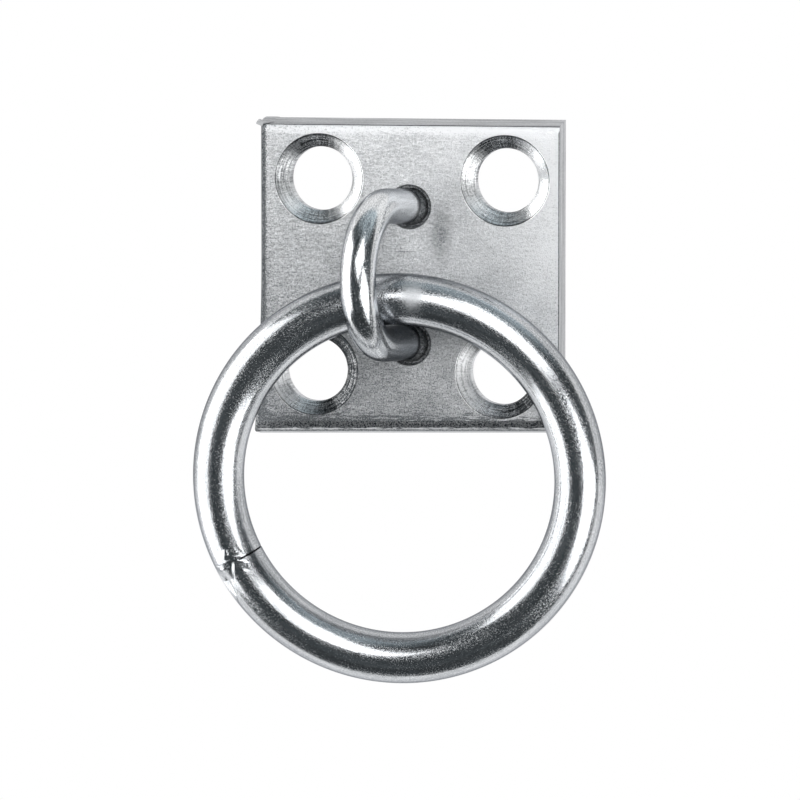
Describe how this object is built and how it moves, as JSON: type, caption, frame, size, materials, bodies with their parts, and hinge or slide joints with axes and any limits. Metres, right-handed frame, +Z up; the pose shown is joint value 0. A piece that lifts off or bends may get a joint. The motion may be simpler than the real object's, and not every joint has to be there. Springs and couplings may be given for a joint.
{
  "type": "tie ring",
  "caption": "Square screw-on steel plate with a riveted round staple that carries a loose welded tie ring, bright zinc plated.",
  "frame": {"origin": "middle of the plate's flat back, the face that is screwed to a post, wall or deck", "axes": "+Y points out of the plate's back into what it is screwed to, +Z is up along the plate, and the staple and ring stand out towards -Y"},
  "size_m": [0.0667, 0.027, 0.0914],
  "materials": {
    "plate_zinc": "bright zinc plating, satin, over cut steel bar",
    "staple_zinc": "bright zinc plating, glossy, over drawn rod",
    "ring_zinc": "bright zinc plating, polished, over drawn rod"
  },
  "bodies": {
    "fixture": {"backplate": "plate_zinc", "staple": "staple_zinc"},
    "swinging_ring": {"ring": "ring_zinc"}
  },
  "joints": [
    {"name": "ring_swing", "type": "hinge", "parent": "fixture", "child": "swinging_ring", "pos_m": [-0.00004, -0.01334, -0.00275], "axis": [-0.9936, -0.1132, 0], "range_deg": [0, 188]}
  ]
}
